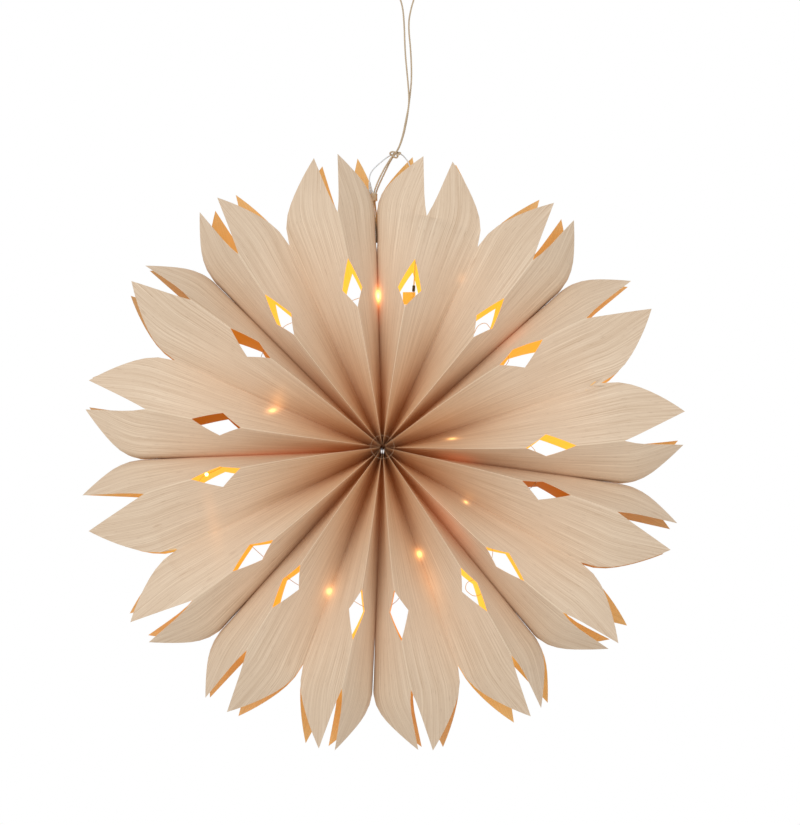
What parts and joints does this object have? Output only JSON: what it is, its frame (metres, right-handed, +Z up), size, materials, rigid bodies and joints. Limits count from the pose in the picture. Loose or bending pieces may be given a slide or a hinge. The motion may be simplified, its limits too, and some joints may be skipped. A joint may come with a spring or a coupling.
{
  "type": "hanging bag star",
  "caption": "Hanging star light folded from gusseted bags of pale wood veneer paper, with diamond cut-outs, pointed petals, a twine loop and a string of tiny warm lights inside.",
  "frame": {"origin": "inside top of the hanging loop, where a hook carries the star", "axes": "+Z up along the hanging twine, -Y towards the viewer in front of the star, +X to the right"},
  "size_m": [0.6115, 0.1304, 0.7919],
  "materials": {
    "veneer_paper": "matte wood grain",
    "thread": "matte",
    "twine": "twisted",
    "clear_plastic": "clear",
    "black_sleeve": "satin",
    "tab": "translucent",
    "wire": "satin",
    "light": "clear"
  },
  "bodies": {
    "root": {"bag_1": "veneer_paper", "bag_2": "veneer_paper", "bag_3": "veneer_paper", "bag_4": "veneer_paper", "bag_5": "veneer_paper", "bag_6": "veneer_paper", "bag_7": "veneer_paper", "bag_8": "veneer_paper", "centre_thread": "thread", "hanging_twine": "twine", "twine_knot": "twine", "twine_binding": "twine", "clear_lead": "clear_plastic", "lead_connector": "clear_plastic", "lead_sleeve": "black_sleeve", "wire_tab": "tab", "light_wire": "wire", "lights": "light"}
  },
  "joints": []
}
